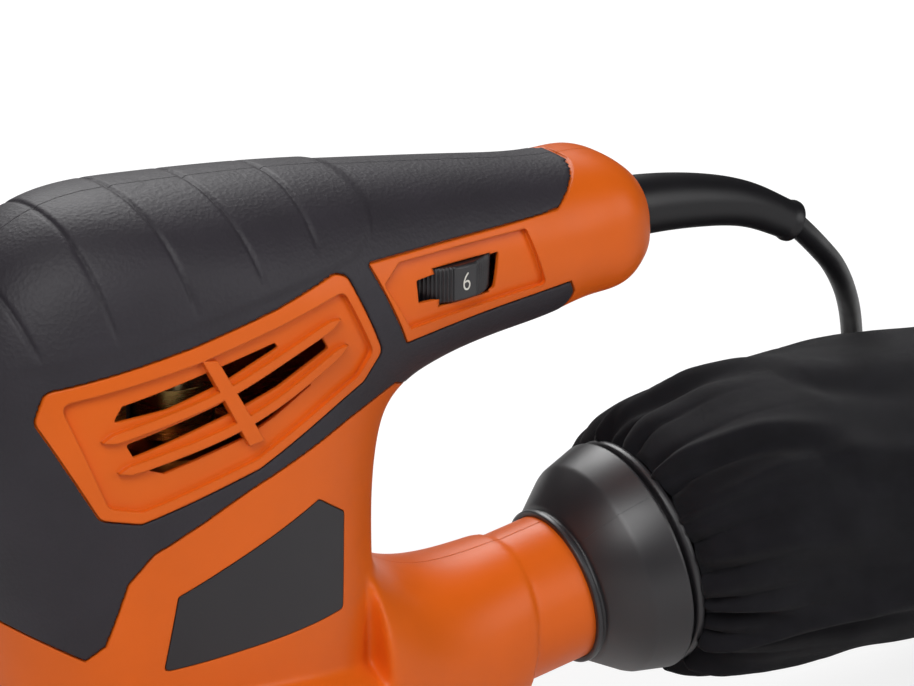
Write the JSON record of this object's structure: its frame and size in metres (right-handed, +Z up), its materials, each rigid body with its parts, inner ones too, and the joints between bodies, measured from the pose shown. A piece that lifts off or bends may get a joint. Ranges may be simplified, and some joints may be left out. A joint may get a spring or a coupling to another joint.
{
  "type": "random orbit sander",
  "caption": "Random-orbit sander with a round pad, top handle, vented two-part body, speed wheel, rear dust tube with cloth bag, and a mains lead with plug.",
  "frame": {"origin": "centre of the sanding face, on the pad's own axis, at floor level", "axes": "+Z up along the motor axis; +X from the nose to the cord end of the handle and the dust outlet; -Y is the tool's left side, where the speed wheel is"},
  "size_m": [0.3836, 0.2138, 0.1737],
  "materials": {
    "shell_plastic": "satin",
    "grip_rubber": "fine grained",
    "label_film": "satin",
    "steel": "ground",
    "zinc_steel": "zinc plated",
    "cast_aluminium": "cast",
    "laminations": "matt",
    "copper_wire": "enamelled",
    "brass": "bright",
    "carbon": "matt",
    "black_plastic": "satin",
    "gloss_black": "gloss",
    "white_plastic": "satin",
    "rocker_plastic": "gloss",
    "board": "satin",
    "lead_sheath": "satin",
    "wire_sheath": "satin",
    "pad_foam": "foamed",
    "hook_fabric": "napped",
    "abrasive": "gritty",
    "bag_cloth": "woven"
  },
  "bodies": {
    "housing": {"housing_left": "shell_plastic", "housing_right": "shell_plastic", "grip_left": "grip_rubber", "grip_right": "grip_rubber", "label_left": "label_film", "label_right": "label_film", "housing_screws": "zinc_steel", "bearing_plate": "cast_aluminium", "lower_bearing": "steel", "upper_bearing": "steel", "stator_core": "laminations", "stator_windings": "copper_wire", "brush_holders": "brass", "carbon_brushes": "carbon", "brush_springs": "zinc_steel", "switch_body": "black_plastic", "switch_bezel": "black_plastic", "speed_control": "white_plastic", "speed_board": "board", "terminal_block": "white_plastic", "supply_cable": "lead_sheath", "cord_clamp": "white_plastic", "clamp_screws": "zinc_steel", "internal_leads": "wire_sheath", "pad_seal": "grip_rubber", "cable_boot": "lead_sheath", "mains_cord": "lead_sheath", "cord_coil": "lead_sheath", "cord_tail": "lead_sheath", "plug_body": "black_plastic", "plug_pins": "brass"},
    "rotor": {"motor_shaft": "steel", "armature_core": "laminations", "armature_windings": "copper_wire", "commutator": "brass", "cooling_fan": "white_plastic", "dust_fan": "black_plastic", "eccentric": "cast_aluminium", "pad_bearing": "steel"},
    "pad": {"pad_spindle": "steel", "pad_bolt": "zinc_steel", "pad_plate": "black_plastic", "backing_pad": "pad_foam", "hook_layer": "hook_fabric", "sanding_disc": "abrasive"},
    "dial": {"speed_dial": "gloss_black"},
    "rocker": {"switch_rocker": "rocker_plastic"},
    "bag": {"bag_adapter": "gloss_black", "bag_clamp": "gloss_black", "dust_bag": "bag_cloth", "zip_tape": "bag_cloth", "zip_slider": "zinc_steel"}
  },
  "joints": [
    {"name": "motor_spin", "type": "hinge", "parent": "housing", "child": "rotor", "pos_m": [-0.00125, 0, 0.035], "axis": [0, 0, 1], "continuous": true},
    {"name": "pad_spin", "type": "hinge", "parent": "rotor", "child": "pad", "pos_m": [0, 0, 0.02], "axis": [0, 0, 1], "continuous": true},
    {"name": "dial_turn", "type": "hinge", "parent": "housing", "child": "dial", "pos_m": [0.0615, -0.011, 0.144], "axis": [0, 0, 1], "range_deg": [-260, 0]},
    {"name": "switch_rock", "type": "hinge", "parent": "housing", "child": "rocker", "pos_m": [-0.06, 0, 0.125], "axis": [0, 1, 0], "range_deg": [-16, 0]},
    {"name": "bag_slide", "type": "slide", "parent": "housing", "child": "bag", "axis": [0.984, 0, 0.1779], "range_m": [0, 0.02]}
  ]
}
